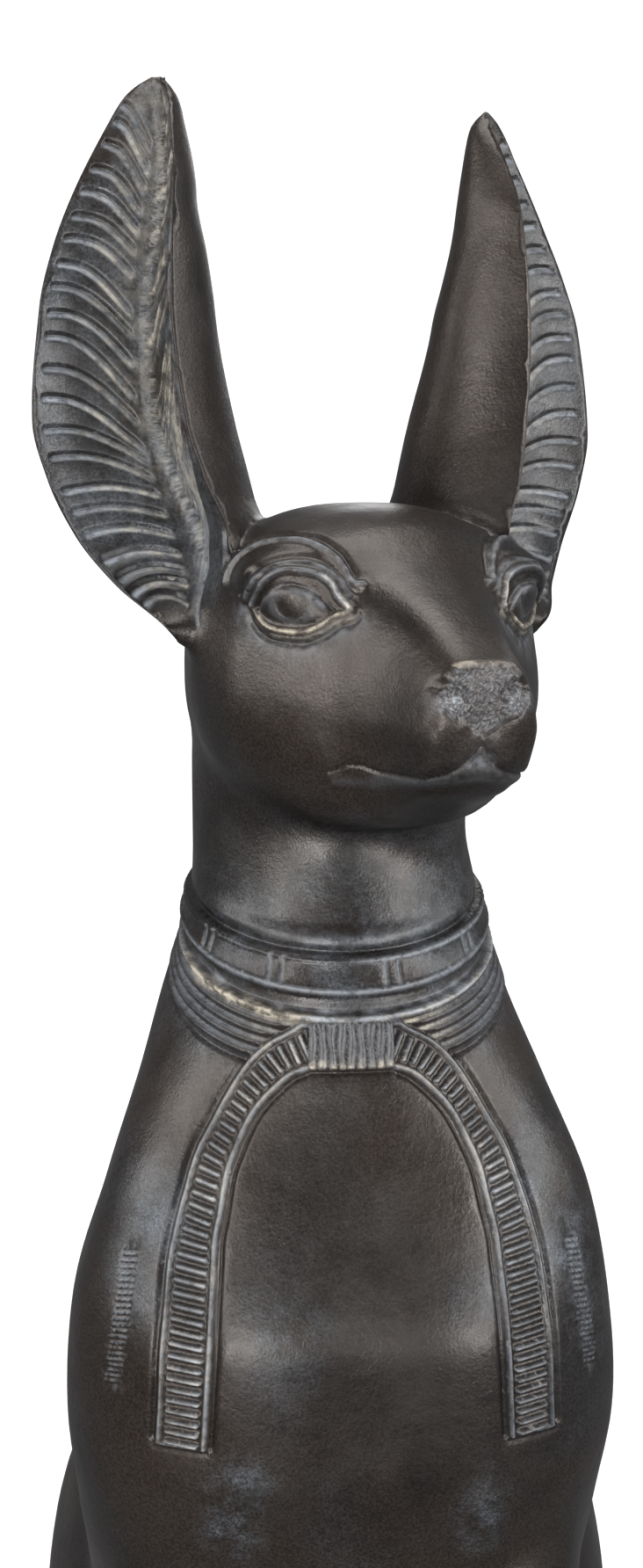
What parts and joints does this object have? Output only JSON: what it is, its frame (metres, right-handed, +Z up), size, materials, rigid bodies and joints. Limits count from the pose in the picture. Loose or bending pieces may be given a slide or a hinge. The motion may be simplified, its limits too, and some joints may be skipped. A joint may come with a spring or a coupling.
{
  "type": "seated jackal figure",
  "caption": "Seated jackal figure with tall carved ears, turned head, banded collar and a barred ribbon down the breast, cast in one with a low rectangular base.",
  "frame": {"origin": "middle of the underside of the base", "axes": "+X to the figure's left, -Y the way the chest faces, +Z up"},
  "size_m": [0.272, 0.364, 0.8],
  "materials": {
    "dark_cast": "very dark brown-black satin patina on cast resin stone, pale blue-grey and cream deposit in the cuts"
  },
  "bodies": {
    "root": {"jackal_figure": "dark_cast"}
  },
  "joints": []
}
